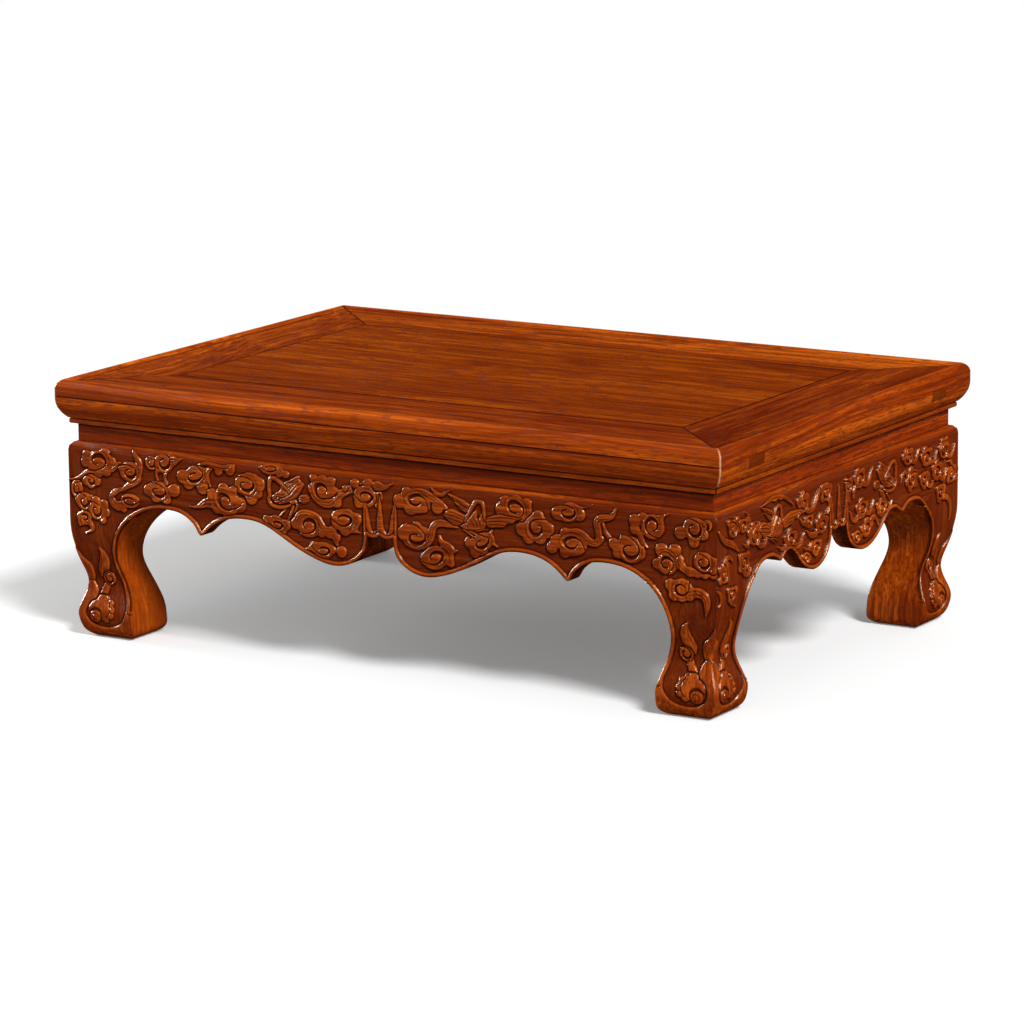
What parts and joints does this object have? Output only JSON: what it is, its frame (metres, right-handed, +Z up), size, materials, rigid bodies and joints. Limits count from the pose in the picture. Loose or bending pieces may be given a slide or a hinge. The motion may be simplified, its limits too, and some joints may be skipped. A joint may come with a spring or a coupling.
{
  "type": "kang table",
  "caption": "Low waisted table in carved hardwood with a mitred frame top, floating panel, scalloped relief-carved aprons and cabriole legs.",
  "frame": {"origin": "on the floor, under the middle of the table top", "axes": "+X along the table's length to the right, +Y along its depth to the back, +Z up"},
  "size_m": [0.9, 0.622, 0.313],
  "materials": {
    "frame_wood": "polished reddish hardwood, oiled and waxed",
    "panel_wood": "polished reddish hardwood board with fine straight grain",
    "waist_wood": "polished reddish hardwood, darkened in the recess",
    "carved_wood": "relief-carved reddish hardwood, waxed, darker in the hollows",
    "under_wood": "planed hardwood, unpolished, on the underside"
  },
  "bodies": {
    "root": {"front_rail": "frame_wood", "back_rail": "frame_wood", "left_end_rail": "frame_wood", "right_end_rail": "frame_wood", "front_rail_top": "frame_wood", "back_rail_top": "frame_wood", "left_end_rail_top": "frame_wood", "right_end_rail_top": "frame_wood", "centre_panel": "panel_wood", "left_batten": "under_wood", "centre_batten": "under_wood", "right_batten": "under_wood", "front_waist": "waist_wood", "back_waist": "waist_wood", "left_waist": "waist_wood", "right_waist": "waist_wood", "front_apron": "carved_wood", "back_apron": "carved_wood", "left_apron": "carved_wood", "right_apron": "carved_wood", "front_left_leg": "carved_wood", "front_right_leg": "carved_wood", "back_left_leg": "carved_wood", "back_right_leg": "carved_wood"}
  },
  "joints": []
}
